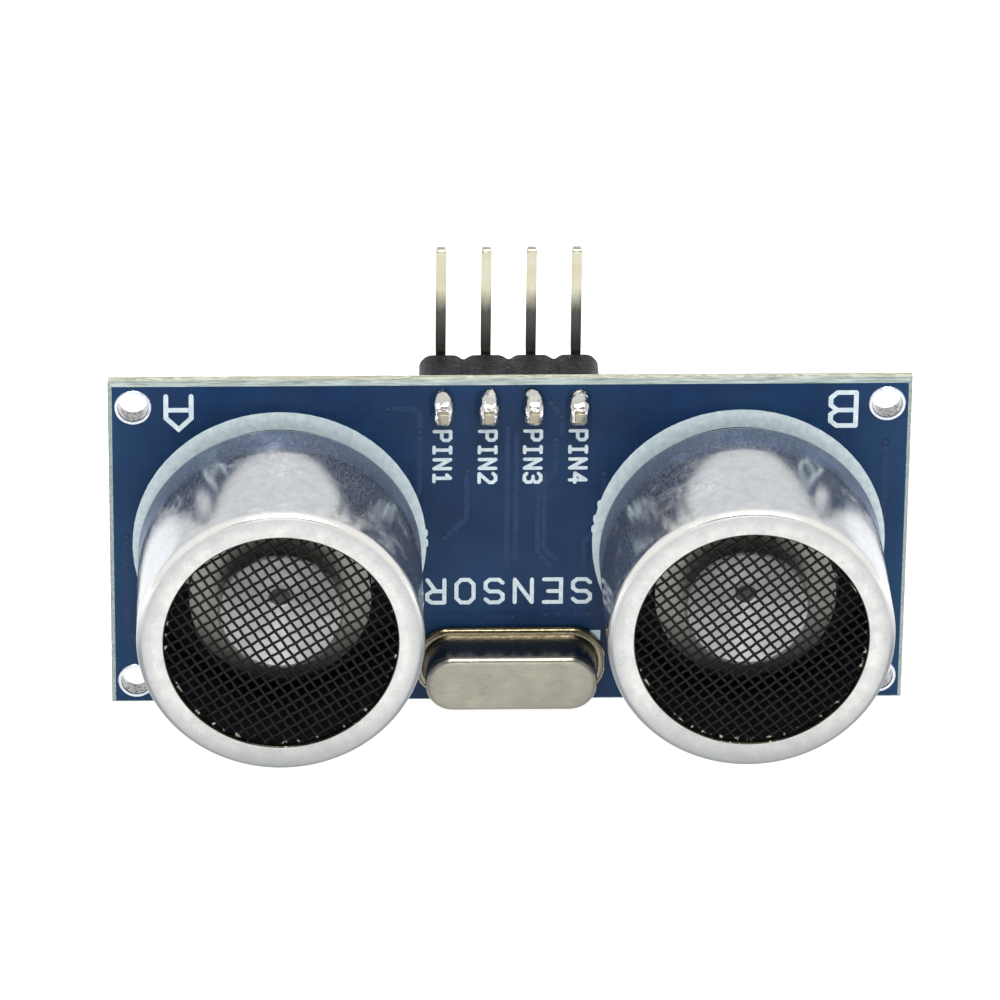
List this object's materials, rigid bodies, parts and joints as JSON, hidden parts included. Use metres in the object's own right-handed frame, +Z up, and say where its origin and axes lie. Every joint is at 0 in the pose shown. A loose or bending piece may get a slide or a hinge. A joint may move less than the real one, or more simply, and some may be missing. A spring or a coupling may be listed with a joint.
{
  "type": "ultrasonic distance sensor",
  "caption": "Small circuit board with two round ultrasonic transducers side by side, a metal-can crystal between them and a right-angle pin header, for measuring distance by echo.",
  "frame": {"origin": "centre of the four-hole pattern, on the board's front face", "axes": "+X along the board towards the transmitter, -Y the way the transducers face, +Z up the header pins"},
  "size_m": [0.045, 0.0172, 0.0262],
  "materials": {
    "board": "gloss solder mask over glass-fibre laminate",
    "solder": "bright solder",
    "header_plastic": "moulded black plastic",
    "header_pin": "pale gold plating, polished",
    "can_aluminium": "polished side, satin face",
    "screen_wire": "blackened woven wire",
    "transducer_base": "moulded black plastic",
    "silicone": "soft silicone",
    "vibration_disc": "satin",
    "piezo_ceramic": "fired silver electrode",
    "cone_aluminium": "satin",
    "adhesive": "cured adhesive",
    "tinned_lead": "tin plating",
    "lead_wire": "fine copper wire",
    "crystal_metal": "nickel plating, satin face",
    "seal_glass": "sealing glass",
    "quartz": "lapped quartz with silver electrodes",
    "chip_resin": "moulded epoxy",
    "silicon_die": "silicon",
    "resistor_body": "black glaze over white ceramic",
    "capacitor_body": "sintered ceramic"
  },
  "bodies": {
    "root": {"board": "board", "corner_hole_plating": "solder", "header_body": "header_plastic", "pin_ground": "header_pin", "pin_echo": "header_pin", "pin_trigger": "header_pin", "pin_supply": "header_pin", "header_solder_joints": "solder", "receiver_can": "can_aluminium", "receiver_screen": "screen_wire", "receiver_base": "transducer_base", "receiver_silicone_ring": "silicone", "receiver_vibration_disc": "vibration_disc", "receiver_piezo_disc": "piezo_ceramic", "receiver_cone": "cone_aluminium", "receiver_cone_adhesive": "adhesive", "receiver_terminals": "tinned_lead", "receiver_lead_wires": "lead_wire", "transmitter_can": "can_aluminium", "transmitter_screen": "screen_wire", "transmitter_base": "transducer_base", "transmitter_silicone_ring": "silicone", "transmitter_vibration_disc": "vibration_disc", "transmitter_piezo_disc": "piezo_ceramic", "transmitter_cone": "cone_aluminium", "transmitter_cone_adhesive": "adhesive", "transmitter_terminals": "tinned_lead", "transmitter_lead_wires": "lead_wire", "transducer_solder_joints": "solder", "crystal_cover": "crystal_metal", "crystal_base": "crystal_metal", "crystal_glass_seals": "seal_glass", "crystal_leads": "tinned_lead", "crystal_quartz_blank": "quartz", "crystal_clips": "crystal_metal", "crystal_solder_joints": "solder", "transmitter_driver_chip_body": "chip_resin", "transmitter_driver_chip_die": "silicon_die", "transmitter_driver_chip_leads": "tinned_lead", "echo_amplifier_chip_body": "chip_resin", "echo_amplifier_chip_die": "silicon_die", "echo_amplifier_chip_leads": "tinned_lead", "controller_chip_body": "chip_resin", "controller_chip_die": "silicon_die", "controller_chip_leads": "tinned_lead", "transistor_body": "chip_resin", "transistor_leads": "tinned_lead", "resistor_bodies": "resistor_body", "resistor_end_caps": "solder", "capacitor_bodies": "capacitor_body", "capacitor_end_caps": "solder", "surface_mount_solder": "solder"}
  },
  "joints": []
}
